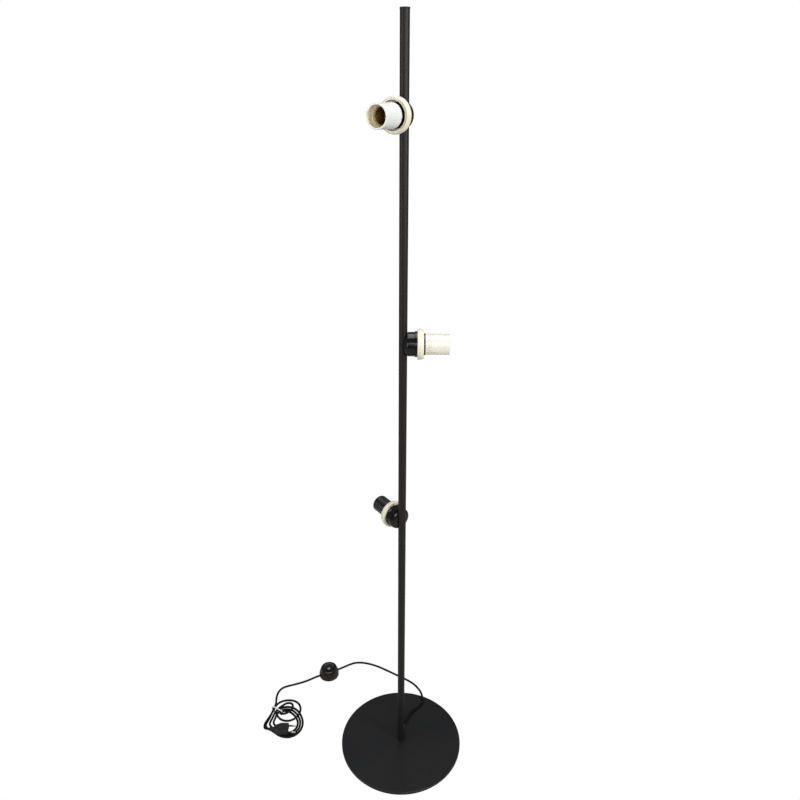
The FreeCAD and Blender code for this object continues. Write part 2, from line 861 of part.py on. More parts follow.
def switch_base():
    disc = cylinder("switch_base_disc", SWITCH_RADIUS, SWITCH_SEAT)
    post = cylinder("switch_base_post", half("spring_post_diameter"), "spring_post_height",
                    at=(0, 0, SWITCH_SEAT))
    tools = []
    for index, side in enumerate(SCREW_SIDES):
        hole = total(half("switch_screw_diameter"), "fit_gap")
        sink = total(half("switch_screw_head_diameter"), "loose_gap")
        tools.append(cylinder("switch_base_hole_%d" % index, hole, "2 * switch_base_thickness",
                              at=(0, side, 0)))
        tools.append(cylinder("switch_base_sink_%d" % index, sink, SCREW_HEAD_TOP, at=(0, side, 0)))
    return cut("switch_base_drilled", joined("switch_base_whole", disc, post), *tools)


def switch_cover():
    inner = less(SWITCH_RADIUS, "switch_wall")
    bevel = less(SWITCH_RADIUS, "switch_bevel_inset")
    mouth = total(half("button_diameter"), "button_gap")
    shell = turned("switch_cover_turned", [
        (inner, SWITCH_SEAT),
        (SWITCH_RADIUS, SWITCH_SEAT),
        (SWITCH_RADIUS, SWITCH_SHOULDER),
        (bevel, SWITCH_BEVEL_TOP, "switch_crown"),
        (less(bevel, "switch_crown_inset"), SWITCH_TOP),
        (mouth, SWITCH_TOP),
        (mouth, SWITCH_CEILING),
        (less(bevel, "switch_crown_inset"), SWITCH_CEILING),
        (inner, less(SWITCH_SHOULDER, "switch_crown")),
    ])
    parts = [shell]
    tools = []
    post_height = total(less(SWITCH_CEILING, SWITCH_SEAT), "switch_post_bite")
    for index, side in enumerate(SCREW_SIDES):
        parts.append(cylinder("switch_post_%d" % index, half("switch_post_diameter"), post_height,
                              at=(0, side, SWITCH_SEAT)))
        hole = total(half("switch_screw_diameter"), "fit_gap")
        depth = total("switch_screw_length", SCREW_HEAD_TOP, "hole_spare")
        tools.append(cylinder("switch_post_hole_%d" % index, hole, less(depth, SWITCH_SEAT),
                              at=(0, side, SWITCH_SEAT)))
    cord_hole = total(half("cord_diameter"), "switch_cord_hole_gap")
    tools.append(cylinder("switch_cord_holes", cord_hole, "2 * switch_diameter",
                          ("0 - switch_diameter", 0, "switch_cord_height"), (0, 90, 0)))
    return cut("switch_cover_drilled", joined("switch_cover_whole", *parts), *tools)


def switch_button():
    head = half("button_diameter")
    flange = total(head, "button_flange")
    flange_bottom = less(FLANGE_TOP, "button_flange_height")
    shoulder = total(SWITCH_TOP, "button_stand")
    stem = half("button_stem_diameter")
    return turned("button_turned", [
        (0, BRIDGE_TOP),
        (stem, BRIDGE_TOP),
        (stem, flange_bottom),
        (flange, flange_bottom),
        (flange, FLANGE_TOP),
        (head, FLANGE_TOP),
        (head, shoulder),
        ("button_flat", total(shoulder, "button_crown"), "button_crown / 4"),
        (0, total(shoulder, "button_crown")),
    ])


def switch_bridge():
    return box("bridge_bar", ("bridge_length", "bridge_width", "bridge_thickness"),
               ("0 - bridge_length / 2", "0 - bridge_width / 2", BRIDGE_BOTTOM))


def switch_contact(side):
    length = less("switch_cord_end", "contact_block_start")
    start = "contact_block_start" if side == "in" else "0 - switch_cord_end"
    return box("contact_block_" + side, (length, "contact_block_width", "contact_block_height"),
               (start, "0 - contact_block_width / 2", SWITCH_SEAT))


def switch_screws():
    head = half("switch_screw_head_diameter")
    shank = half("switch_screw_diameter")
    bottom = less(SCREW_HEAD_TOP, "switch_screw_head_height")
    screws = []
    for index, side in enumerate(SCREW_SIDES):
        screw = turned("switch_screw_%d" % (index + 1), [
            (0, bottom),
            (head, bottom),
            (head, SCREW_HEAD_TOP),
            (shank, SCREW_HEAD_TOP),
            (shank, total(SCREW_HEAD_TOP, "switch_screw_length", "0 - switch_screw_head_height")),
            (0, total(SCREW_HEAD_TOP, "switch_screw_length", "0 - switch_screw_head_height")),
        ])
        screws.append(place(screw, at=(0, side, 0)))
    return group("switch_screw_pair", *screws)


# Plug ---------------------------------------------------------------------------------------------

PLUG_TAIL = less("plug_face_east", "plug_length")


def plug_body():
    """A flat body with sloping shoulders: drawn from its tail at the origin to its face along X."""
    face = half("plug_face_width")
    tail = half("plug_tail_width")
    minus_face = less(0, face)
    minus_tail = less(0, tail)
    shoulder = less("plug_length", "plug_straight")
    body = padded("plug_padded", "plug_thickness", [
        (0, minus_tail),
        (shoulder, minus_face),
        ("plug_length", minus_face),
        ("plug_length", face),
        (shoulder, face),
        (0, tail),
    ])
    doc.recompute()
    pad = body.Tip
    edges = ["Edge%d" % (index + 1) for index in range(len(pad.Shape.Edges))]
    rounded = body.newObject("PartDesign::Fillet", "plug_rounding_off")
    rounded.Base = (pad, edges)
    rounded.setExpression("Radius", bound("plug_rounding"))
    place(body, at=(0, 0, less(0, half("plug_thickness"))))
    tools = []
    radius = total(half("pin_diameter"), "fit_gap")
    for index, side in enumerate((half("pin_spacing"), less(0, half("pin_spacing")))):
        tools.append(cylinder("plug_hole_%d" % index, radius, "pin_length",
                              (less("plug_length", "pin_depth"), side, 0), (0, 90, 0)))
    return cut("plug_bored", body, *tools)


def plug_pin(label):
    radius = half("pin_diameter")
    length = total("pin_length", "pin_depth")
    tip = "pin_tip"
    return turned(label, [
        (0, 0),
        (radius, 0),
        (radius, less(length, tip)),
        (less(radius, tip), length, less(tip, tip + " / sqrt(2)")),
        (0, length),
    ])


def plug_relief():
    return turned("relief_turned", [
        (CORD_BORE, 0),
        (half("relief_root"), 0),
        (half("relief_tip"), "relief_length"),
        (CORD_BORE, "relief_length"),
    ])


def cord_tie():
    """A flat band, drawn as the rounded oblong that it makes round the neck: X is down."""
    outlines = []
    for spare in ("tie_thickness", "0"):
        down = total(half("tie_opening_height"), spare)
        across = total(half("tie_opening_width"), spare)
        corner = total("tie_corner", spare)
        bulge = less(corner, corner + " / sqrt(2)")
        outlines.append([
            (less(corner, down), less(0, across), bulge),
            (less(down, corner), less(0, across)),
            (down, less(corner, across), bulge),
            (down, less(across, corner)),
            (less(down, corner), across, bulge),
            (less(corner, down), across),
            (less(0, down), less(across, corner), bulge),
            (less(0, down), less(corner, across)),
        ])
    return padded("tie_padded", "tie_width", *outlines)


# Cords ----------------------------------------------------------------------------------------------

CORD_RADIUS = number(half("cord_diameter"))
FLOOR_LINE = CORD_RADIUS + number("cord_floor_gap")


def tangent_arc(start, corner, end):
    """The arc that leaves start and reaches end along the two sides of the corner between them."""
    middle = (start + end) * 0.5
    reach = (corner - middle).Length
    chord = (end - start).Length / 2
    if reach < 1e-6:
        return Part.LineSegment(start, end).toShape()
    sagitta = chord * math.tan(math.atan2(reach, chord) / 2)
    return Part.Arc(start, middle + (corner - middle) * (sagitta / reach), end).toShape()


def tube(name, edges, radius):
    """A round solid along edges that join smoothly; prints its length, volume and section."""
    wire = Part.Wire(edges)
    start = edges[0].valueAt(edges[0].FirstParameter)
    heading = edges[0].tangentAt(edges[0].FirstParameter)
    profile = Part.Wire([Part.Circle(start, heading, radius).toShape()])
    shape = wire.makePipeShell([profile], True, False)
    expected = math.pi * radius ** 2 * wire.Length
    print("%s: length %.1f, volume %.1f of %.1f" % (name, wire.Length, shape.Volume, expected))
    return shape


def free_tube(name, points):
    """A cord's tube: straight runs joined by arcs as large as the two runs at each point allow."""
    points = [FreeCAD.Vector(*point) for point in points]
    edges = []
    radii = []
    last = points[0]
    for before, here, after in zip(points, points[1:], points[2:]):
        back = here - before
        ahead = after - here
        shorter = min(back.Length, ahead.Length)
        turn = back.getAngle(ahead)
        reach = 0.45 * shorter
        radii.append(reach / math.tan(turn / 2))
        start = here - back.normalize() * reach
        end = here + ahead.normalize() * reach
        edges.append(Part.LineSegment(last, start).toShape())
        edges.append(tangent_arc(start, here, end))
        last = end
    edges.append(Part.LineSegment(last, points[-1]).toShape())
    print("%s: radii %s" % (name, " ".join("%.0f" % radius for radius in radii)))
    return tube(name, edges, CORD_RADIUS)


def smooth_edges(stations):
    """Arcs, two for each pair of stations, through (point, heading) stations without a corner."""
    edges = []
    for (start, leave), (end, arrive) in zip(stations, stations[1:]):
        across = end - start
        both = leave + arrive
        spread = 2 * (1 - leave.dot(arrive))
        along = across.dot(both)
        if spread < 1e-9:
            edges.append(Part.LineSegment(start, end).toShape())
            continue
        reach = (math.sqrt(along ** 2 + spread * across.dot(across)) - along) / spread
        first = start + leave * reach
        second = end - arrive * reach
        middle = (first + second) * 0.5
        edges.append(tangent_arc(start, first, middle))
        edges.append(tangent_arc(middle, second, end))
    return edges


def least_gap(edges, diameter):
    """The least gap between stretches of the tube that aren't neighbours, measured on points."""
    points = []
    for edge in edges:
        points.extend(edge.discretize(Distance=max(1.0, diameter / 4))[:-1])
    travelled = [0.0]
    for before, after in zip(points, points[1:]):
        travelled.append(travelled[-1] + (after - before).Length)
    least = None
    for first in range(len(points)):
        for second in range(first + 1, len(points)):
            if travelled[second] - travelled[first] > 3 * diameter:
                distance = (points[second] - points[first]).Length
                if least is None or distance < least[0]:
                    least = (distance, points[first], points[second])
    return least[0] - diameter, least[1], least[2]


def station(point_of, angle):
    """A point of a winding and its heading there, from the winding's formula."""
    nudge = 0.5
    heading = FreeCAD.Vector(*point_of(angle + nudge)) - FreeCAD.Vector(*point_of(angle - nudge))
    return FreeCAD.Vector(*point_of(angle)), heading.normalize()


def swell(angle, middle, width):
    """A smooth swelling of height 1 about one direction; angles in degrees."""
    offset = (angle - middle + 180) % 360 - 180
    return math.exp(-(offset / width) ** 2)


def ease(value, start, end):
    """0 before start, 1 after end, and a smooth rise between them."""
    share = min(1, max(0, (value - start) / (end - start)))
    return share * share * (3 - 2 * share)


# The coil lies on the floor in loose turns that swell to the front and are drawn in at the tie. Two
# raised loops follow: the small one climbs out of the innermost turn, and the large one runs over the
# turns on the floor. Then the cord goes down the left side to the plug.
COIL_EAST = -298
COIL_NORTH = 62
COIL_RADIUS = 36
COIL_START = 158
COIL_STEP = 6.6
COIL_BACK_STEP = 1.2
COIL_FLOOR_TURNS = 2.88
COIL_CLIMB = (2.7, 2.95)
COIL_LIFT = 1.7
COIL_LAYER = 6.1
FRONT_SWELL = 26
FRONT_AZIMUTH = 303
FRONT_SPREAD = 60
CORNER_SWELL = 14
CORNER_FADE = 4
CORNER_AZIMUTH = 208
CORNER_SPREAD = 20
BACK_SWELL = 9
BACK_AZIMUTH = 80
BACK_SPREAD = 75
NECK_AZIMUTH = 145
NECK_SPREAD = 28
STATION_STEP = 45
# each raised loop: east, north, half length, half breadth, growth and sag in millimetres, and then
# the azimuths of its tilt and its start, and how many stations it has
SMALL_LOOP = (-299.5, 89.5, 21, 14.5, 6, 0)
SMALL_LOOP_AZIMUTHS = (45, 200)
SMALL_LOOP_STATIONS = 6
LARGE_LOOP = (-291, 84, 33.5, 31, 6.5, 3.5)
LARGE_LOOP_AZIMUTHS = (90, 90)
LARGE_LOOP_STATIONS = 9
COIL_INLET = (-328.5, 112, FLOOR_LINE)
# the tail from the large loop to the plug: a point and the azimuth of the cord there
COIL_TAIL = (
    ((-338.5, 56, 9.6), 250),
    ((-342.5, 34, 12.5), 272),
)


def floor_turn(angle):
    """A point of the turns on the floor, the last of which climbs to the raised loops."""
    inward = (angle - COIL_START) / 360
    radius = COIL_RADIUS - COIL_STEP * inward
    radius += FRONT_SWELL * swell(angle, FRONT_AZIMUTH, FRONT_SPREAD)
    radius += (CORNER_SWELL - CORNER_FADE * inward) * swell(angle, CORNER_AZIMUTH, CORNER_SPREAD)
    radius += (BACK_SWELL - COIL_BACK_STEP * inward) * swell(angle, BACK_AZIMUTH, BACK_SPREAD)
    height = FLOOR_LINE + COIL_LIFT * swell(angle, NECK_AZIMUTH, NECK_SPREAD)
    height += COIL_LAYER * ease(inward, *COIL_CLIMB)
    east = COIL_EAST + radius * math.cos(math.radians(angle))
    north = COIL_NORTH + radius * math.sin(math.radians(angle))
    return east, north, height


def raised_loop(loop, azimuths, angle):
    """A point of a raised loop: a tilted oval that widens a little at its end."""
    east, north, long, broad, growth, sag = loop
    tilt, start = azimuths
    share = (angle - start) / 360
    wider = growth * ease(share, 0.6, 1)
    along = (long + wider) * math.cos(math.radians(angle))
    aside = (broad + wider) * math.sin(math.radians(angle))
    lean = math.radians(tilt)
    east += along * math.cos(lean) - aside * math.sin(lean)
    north += along * math.sin(lean) + aside * math.cos(lean)
    height = FLOOR_LINE + COIL_LAYER
    height += COIL_LIFT * swell(angle - start, 0, 45) - sag * swell(share * 360, 275, 45)
    return east, north, height


def coil_stations():
    """All the coil's stations, from where the cord comes in to the plug."""
    diameter = 2 * CORD_RADIUS
    inlet = FreeCAD.Vector(*COIL_INLET)
    front = FreeCAD.Vector(0, -1, 0)
    stations = [(inlet, front), (inlet + front * diameter, front)]
    for index in range(int(COIL_FLOOR_TURNS * 360 / STATION_STEP) + 1):
        stations.append(station(floor_turn, COIL_START + index * STATION_STEP))
    for loop, azimuths, count in ((SMALL_LOOP, SMALL_LOOP_AZIMUTHS, SMALL_LOOP_STATIONS),
                                  (LARGE_LOOP, LARGE_LOOP_AZIMUTHS, LARGE_LOOP_STATIONS)):
        for index in range(count):
            angle = azimuths[1] + index * STATION_STEP
            stations.append(station(lambda angle: raised_loop(loop, azimuths, angle), angle))
    for point, azimuth in COIL_TAIL:
        heading = FreeCAD.Vector(math.cos(math.radians(azimuth)), math.sin(math.radians(azimuth)), 0)
        stations.append((FreeCAD.Vector(*point), heading))
    plug = FreeCAD.Vector(number(PLUG_TAIL), number("plug_north"), number("plug_height"))
    inward = FreeCAD.Vector(1, 0, 0)
    stations.append((plug - inward * (number("relief_length") + diameter), inward))
    stations.append((plug, inward))
    return stations


def spring_point(angle):
    """A point of the return spring's helix, which stands on the base and ends under the bridge."""
    radius = number(half(less("spring_diameter", "spring_wire")))
    wire = number("spring_wire")
    bottom = number(total(SWITCH_SEAT, "spring_end_gap")) + wire / 2
    top = number(less(BRIDGE_BOTTOM, "spring_end_gap")) - wire / 2
    height = bottom + (top - bottom) * angle / (360 * number("spring_turns"))
    return radius * math.cos(math.radians(angle)), radius * math.sin(math.radians(angle)), height


def switch_spring():
    quarters = int(4 * number("spring_turns"))
    stations = [station(spring_point, 90 * quarter) for quarter in range(quarters + 1)]
    edges = smooth_edges(stations)
    wire = number("spring_wire")
    gap, one, other = least_gap(edges, wire)
    print("switch_spring: least gap %.2f" % gap)
    return tube("switch_spring", edges, wire / 2)


# The routes' points are chosen along the photographed cord, in millimetres above the floor. The ends
# come from the grommet, the switch and the coil.
SWITCH_LINE = number("switch_cord_height")


def along_switch(reach, aside=0, height=None):
    """A point on the switch's cord line, reach along it from the switch's centre."""
    turn = math.radians(number("switch_turn"))
    east = number("switch_east") + reach * math.cos(turn) - aside * math.sin(turn)
    north = number("switch_north") + reach * math.sin(turn) + aside * math.cos(turn)
    return east, north, SWITCH_LINE if height is None else height


def from_grommet(reach):
    """A point on the grommet's axis, reach out from the end of its nose."""
    turn = math.radians(number("grommet_azimuth"))
    out = number(GROMMET_END) + reach
    return out * math.cos(turn), out * math.sin(turn), number(GROMMET_HEIGHT)


POLE_TO_SWITCH = [
    from_grommet(0),
    from_grommet(17),
    (18.5, 60, 19),
    (29, 79, 13.6),
    (42, 93, 12),
    (57, 106, 12),
    (57.5, 121, 13.4),
    (54, 133, 16.3),
    (50.5, 145.5, 14.6),
    (46, 159, 8.3),
    (38.5, 174, 4.2),
    (28, 185.5, FLOOR_LINE),
    (12, 197, FLOOR_LINE),
    (-11, 210.5, FLOOR_LINE),
    (-39.5, 227.7, FLOOR_LINE),
    (-68, 244, FLOOR_LINE),
    (-98, 254.5, FLOOR_LINE),
    (-121, 256.5, 2.9),
    (-137, 252, 3.6),
    (-153.5, 241, 4.8),
    along_switch(31),
    along_switch(number("switch_cord_end")),
]

SWITCH_TO_COIL = [
    along_switch(-number("switch_cord_end")),
    along_switch(-37),
    along_switch(-60, -1, 3.1),
    along_switch(-87, 0, FLOOR_LINE),
    along_switch(-113, 3, FLOOR_LINE),
    (-319, 164.5, FLOOR_LINE),
    (-329, 149, FLOOR_LINE),
    (-330.5, 131, FLOOR_LINE),
    COIL_INLET,
]


# The lamp's nodes ----------------------------------------------------------------------------------

node("base_disc", base_disc())
node("base_pad", base_pad())
node("base_washer", base_washer())
node("base_screw", base_screw())
node("pole_foot_plug", pole_foot_plug())
node("pole_tube", pole_tube())
node("pole_top_cap", pole_top_cap())
node("cord_grommet", cord_grommet(), (0, 0, GROMMET_HEIGHT), ("grommet_azimuth", 90, 0))
node("pole_lead", pole_lead())

SKIRTS = {
    "upper": ("skirt_diameter", "skirt_wall", "skirt_length"),
    "middle": ("skirt_diameter", "skirt_wall", "skirt_length"),
    "lower": ("black_skirt_diameter", "black_skirt_wall", "black_skirt_length"),
}

HOLDER_PIECES = {
    "nipple": nipple,
    "lock_nut": lock_nut,
    "back_cap": back_cap,
    "collar": collar,
    "insulator": insulator,
    "centre_contact": centre_contact,
    "screw_shell": screw_shell,
    "terminal_screws": terminal_screws,
    "shade_ring": shade_ring,
}

for holder in HOLDERS:
    at, turn = out_of_pole(holder)
    for piece, make in HOLDER_PIECES.items():
        name = "%s_%s" % (holder, piece)
        node(name, make("make_" + name), at, turn)
    node(holder + "_skirt", skirt("make_%s_skirt" % holder, *SKIRTS[holder]), at, turn)

node("switch_base", switch_base(), SWITCH_AT, SWITCH_ROTATION)
node("switch_cover", switch_cover(), SWITCH_AT, SWITCH_ROTATION)
node("switch_button", switch_button(), SWITCH_AT, SWITCH_ROTATION)
node("switch_bridge", group("bridge_group", switch_bridge()), SWITCH_AT, SWITCH_ROTATION)
node("switch_contact_in", group("contact_in_group", switch_contact("in")), SWITCH_AT, SWITCH_ROTATION)
node("switch_contact_out", group("contact_out_group", switch_contact("out")), SWITCH_AT, SWITCH_ROTATION)
node("switch_screws", switch_screws(), SWITCH_AT, SWITCH_ROTATION)

PLUG_AT = (PLUG_TAIL, "plug_north", "plug_height")
node("plug_body", plug_body(), PLUG_AT)
PIN_BACK = less("plug_face_east", "pin_depth")
PIN_NEAR = less("plug_north", half("pin_spacing"))
PIN_FAR = total("plug_north", half("pin_spacing"))
node("plug_pin_1", plug_pin("make_pin_1"), (PIN_BACK, PIN_NEAR, "plug_height"), (0, 90, 0))
node("plug_pin_2", plug_pin("make_pin_2"), (PIN_BACK, PIN_FAR, "plug_height"), (0, 90, 0))
node("plug_relief", plug_relief(), PLUG_AT, (180, 90, 0))
node("cord_tie", cord_tie(), ("tie_east", "tie_north", "tie_height"), ("tie_azimuth", 90, 0))


def shaped(name, shape):
    """A node whose shape is set here, because it follows a route or a winding."""
    thing = doc.addObject("Part::Feature", name)
    thing.Shape = shape
    return thing


node("switch_spring", shaped("make_switch_spring", switch_spring()), SWITCH_AT, SWITCH_ROTATION)
coil_edges = smooth_edges(coil_stations())
gap, one, other = least_gap(coil_edges, 2 * CORD_RADIUS)
print("cord_coil: least gap %.2f" % gap)
tightest = min(edge.Curve.Radius for edge in coil_edges if hasattr(edge.Curve, "Radius"))
print("cord_coil: tightest radius %.1f" % tightest)
node("cord_coil", shaped("make_cord_coil", tube("cord_coil", coil_edges, CORD_RADIUS)))
node("cord_pole_to_switch",
     shaped("make_cord_pole_to_switch", free_tube("cord_pole_to_switch", POLE_TO_SWITCH)))
node("cord_switch_to_coil",
     shaped("make_cord_switch_to_coil", free_tube("cord_switch_to_coil", SWITCH_TO_COIL)))

doc.recompute()


# Checks, then one file per node ---------------------------------------------------------------------

problems = []
for thing in doc.Objects:
    if "Invalid" in thing.State or "Error" in thing.State:
        problems.append("%s failed: %s" % (thing.Label, thing.State))
for thing in CUTS:
    if thing.Shape.isNull() or thing.Shape.Volume > thing.Base.Shape.Volume - 1e-6:
        problems.append("%s cut nothing" % thing.Label)
for name, thing in NODES.items():
    if thing.Label != name:
        problems.append("%s is labelled %s" % (name, thing.Label))
    elif thing.Shape.isNull() or not thing.Shape.isValid() or not thing.Shape.Solids:
        problems.append("%s has no valid solid" % name)
if problems:
    raise RuntimeError("; ".join(problems))

os.makedirs("parts", exist_ok=True)
for name, thing in NODES.items():
    thing.Shape.exportStep("parts/%s.step" % name)
print("%d nodes, %d solids" % (len(NODES), sum(len(thing.Shape.Solids) for thing in NODES.values())))
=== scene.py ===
import math
import bpy
import numpy as np
from mathutils import Matrix, Vector


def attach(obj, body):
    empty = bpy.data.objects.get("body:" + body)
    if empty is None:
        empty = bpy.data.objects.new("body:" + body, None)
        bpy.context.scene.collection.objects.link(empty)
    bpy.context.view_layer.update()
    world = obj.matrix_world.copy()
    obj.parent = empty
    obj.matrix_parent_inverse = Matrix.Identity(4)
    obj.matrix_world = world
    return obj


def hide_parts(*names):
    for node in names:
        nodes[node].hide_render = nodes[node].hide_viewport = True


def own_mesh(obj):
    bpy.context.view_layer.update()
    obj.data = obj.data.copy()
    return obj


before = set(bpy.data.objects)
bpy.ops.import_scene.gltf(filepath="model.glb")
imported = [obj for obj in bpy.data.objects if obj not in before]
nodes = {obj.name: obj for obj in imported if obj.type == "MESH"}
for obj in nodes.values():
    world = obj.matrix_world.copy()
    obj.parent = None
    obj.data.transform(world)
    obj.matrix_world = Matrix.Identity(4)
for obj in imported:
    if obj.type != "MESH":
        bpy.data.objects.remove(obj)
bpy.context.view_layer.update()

scene = bpy.context.scene


# Camera -------------------------------------------------------------------------------------------
# It stands about 1.24 m in front of the pole and 1.48 m up, and looks down at the disc. Its place, its
# lens and its turn were fitted to the pole, the disc's rim and the lampholders in the photograph.

camera_data = bpy.data.cameras.new("camera")
camera_data.lens = 31.5
camera_data.sensor_width = 36.0
camera_data.clip_start = 0.05
camera_data.clip_end = 50.0
camera = bpy.data.objects.new("camera", camera_data)
scene.collection.objects.link(camera)
camera_place = Vector((-0.0001, -1.2391, 1.4836))
pitch = math.radians(24.14)
yaw = math.radians(-0.24)
roll = math.radians(0.22)
ahead = Vector((math.sin(yaw) * math.cos(pitch), math.cos(yaw) * math.cos(pitch), -math.sin(pitch)))
level = Vector((math.cos(yaw), -math.sin(yaw), 0))
upright = level.cross(ahead)
across = level * math.cos(roll) + upright * math.sin(roll)
above = upright * math.cos(roll) - level * math.sin(roll)
camera.matrix_world = Matrix((
    (across.x, above.x, -ahead.x, camera_place.x),
    (across.y, above.y, -ahead.y, camera_place.y),
    (across.z, above.z, -ahead.z, camera_place.z),
    (0, 0, 0, 1),
))
scene.camera = camera
scene.view_settings.view_transform = "Standard"


# Floor and light ----------------------------------------------------------------------------------
# The photograph is a cut-out on pure white. The floor and the sky are white to the camera alone, and
# to everything else they are a pale studio. A tall soft light stands to the right and in front of the
# lamp, a weaker one to the left, one near the camera looks into the upper mouth and one hangs overhead.

world = bpy.data.worlds.new("studio")
world.use_nodes = True
scene.world = world
tree = world.node_tree
sky = tree.nodes["Background"]
sky.inputs["Color"].default_value = (0.93, 0.95, 1.0, 1)
sky.inputs["Strength"].default_value = 0.24
white = tree.nodes.new("ShaderNodeBackground")
white.inputs["Color"].default_value = (1, 1, 1, 1)
white.inputs["Strength"].default_value = 1.0
rays = tree.nodes.new("ShaderNodeLightPath")
choice = tree.nodes.new("ShaderNodeMixShader")
tree.links.new(rays.outputs["Is Camera Ray"], choice.inputs[0])
tree.links.new(sky.outputs[0], choice.inputs[1])
tree.links.new(white.outputs[0], choice.inputs[2])
tree.links.new(choice.outputs[0], tree.nodes["World Output"].inputs["Surface"])

floor_mesh = bpy.data.meshes.new("floor")
floor_mesh.from_pydata([(-6, -6, 0), (6, -6, 0), (6, 6, 0), (-6, 6, 0)], [], [(0, 1, 2, 3)])
floor = bpy.data.objects.new("floor", floor_mesh)
scene.collection.objects.link(floor)
floor_material = bpy.data.materials.new("floor")
floor_material.use_nodes = True
tree = floor_material.node_tree
matte = tree.nodes["Principled BSDF"]
matte.inputs["Base Color"].default_value = (0.5, 0.485, 0.46, 1)
matte.inputs["Roughness"].default_value = 0.9
glow = tree.nodes.new("ShaderNodeEmission")
glow.inputs["Strength"].default_value = 1.0
rays = tree.nodes.new("ShaderNodeLightPath")
choice = tree.nodes.new("ShaderNodeMixShader")
tree.links.new(rays.outputs["Is Camera Ray"], choice.inputs[0])
tree.links.new(matte.outputs[0], choice.inputs[1])
tree.links.new(glow.outputs[0], choice.inputs[2])
tree.links.new(choice.outputs[0], tree.nodes["Material Output"].inputs["Surface"])
floor_mesh.materials.append(floor_material)


def soft_light(name, place, aim, size, power, tint):
    """A rectangular light at a place, turned to face its aim."""
    data = bpy.data.lights.new(name, "AREA")
    data.shape = "RECTANGLE"
    data.size, data.size_y = size
    data.energy = power
    data.color = tint
    light = bpy.data.objects.new(name, data)
    light.location = place
    light.rotation_euler = (Vector(aim) - Vector(place)).to_track_quat("-Z", "Y").to_euler()
    scene.collection.objects.link(light)


soft_light("key_light", (2.1, -1.5, 1.9), (0, 0, 0.8), (0.7, 1.9), 50, (1.0, 0.985, 0.955))
soft_light("fill_light", (-2.3, -1.2, 1.3), (0, 0, 0.7), (0.9, 1.6), 26, (0.97, 0.98, 1.0))
soft_light("front_light", (0.7, -2.5, 1.9), (0, 0, 1.0), (1.3, 1.3), 22, (1.0, 0.99, 0.97))
soft_light("top_light", (-0.2, 0.3, 3.0), (0, 0, 0), (1.6, 1.6), 30, (1.0, 1.0, 1.0))


# Cord ---------------------------------------------------------------------------------------------
# One black plastic-jacketed cord, 5.4 mm thick: from the grommet in the pole over the disc's far edge
# to the foot switch, and from the switch to the tied coil and the plug. The coil's turns are points of
# the second spline, worked out by the same formulas as the solid's.

cord_radius = 0.0027
floor_line = 0.00275        # height of the axis of a cord that lies on the floor
second_layer = 0.0061       # how far the raised loops lie above the turns on the floor
crossing_lift = 0.0017      # how far a turn rises over another that it crosses
coil_centre = (-0.298, 0.062)
coil_start = 158            # where the coil's first turn begins, in degrees
first_turn_radius = 0.036
turn_step = 0.0066          # how much the radius shrinks in one turn
angle_step = 15             # degrees from one point of the coil to the next


def swell(angle, middle, width):
    """A smooth swelling of height 1 about one direction: exp(-(offset / width)^2), in degrees."""
    offset = (angle - middle + 180) % 360 - 180
    return math.exp(-(offset / width) ** 2)


def ease(value, start, end):
    """0 before start, 1 after end, and the smooth cubic s^2 (3 - 2 s) between them."""
    share = min(1, max(0, (value - start) / (end - start)))
    return share * share * (3 - 2 * share)


def floor_turn(angle):
    """A turn on the floor: its radius shrinks by turn_step a turn and swells in three directions."""
    inward = (angle - coil_start) / 360
    radius = first_turn_radius - turn_step * inward
    radius += 0.026 * swell(angle, 303, 60)
    radius += (0.014 - 0.004 * inward) * swell(angle, 208, 20)
    radius += (0.009 - 0.0012 * inward) * swell(angle, 80, 75)
    height = floor_line + crossing_lift * swell(angle, 145, 28)
    height += second_layer * ease(inward, 2.7, 2.95)
    turn = math.radians(angle)
    east = coil_centre[0] + radius * math.cos(turn)
    north = coil_centre[1] + radius * math.sin(turn)
    return east, north, height


def raised_loop(centre, long, broad, tilt, start, growth, sag, angle):
    """A raised oval loop, turned by tilt in plan, that widens by growth over its last two fifths."""
    share = (angle - start) / 360
    wider = growth * ease(share, 0.6, 1)
    along = (long + wider) * math.cos(math.radians(angle))
    aside = (broad + wider) * math.sin(math.radians(angle))
    lean = math.radians(tilt)
    east = centre[0] + along * math.cos(lean) - aside * math.sin(lean)
    north = centre[1] + along * math.sin(lean) + aside * math.cos(lean)
    height = floor_line + second_layer + crossing_lift * swell(angle - start, 0, 45)
    return east, north, height - sag * swell(share * 360, 275, 45)


def cord_curve(name, points):
    """A round cord along a NURBS spline of order 3; a point's radius times the bevel is the cord's."""
    curve = bpy.data.curves.new(name, "CURVE")
    curve.dimensions = "3D"
    spline = curve.splines.new("NURBS")
    spline.points.add(len(points) - 1)
    for point, place in zip(spline.points, points):
        point.co = (*place, 1)
        point.radius = cord_radius
    spline.order_u = 3
    spline.use_endpoint_u = True
    spline.resolution_u = 6
    curve.bevel_depth = 1.0
    curve.bevel_resolution = 5
    curve.use_fill_caps = True
    cord = bpy.data.objects.new(name, curve)
    scene.collection.objects.link(cord)
    return cord


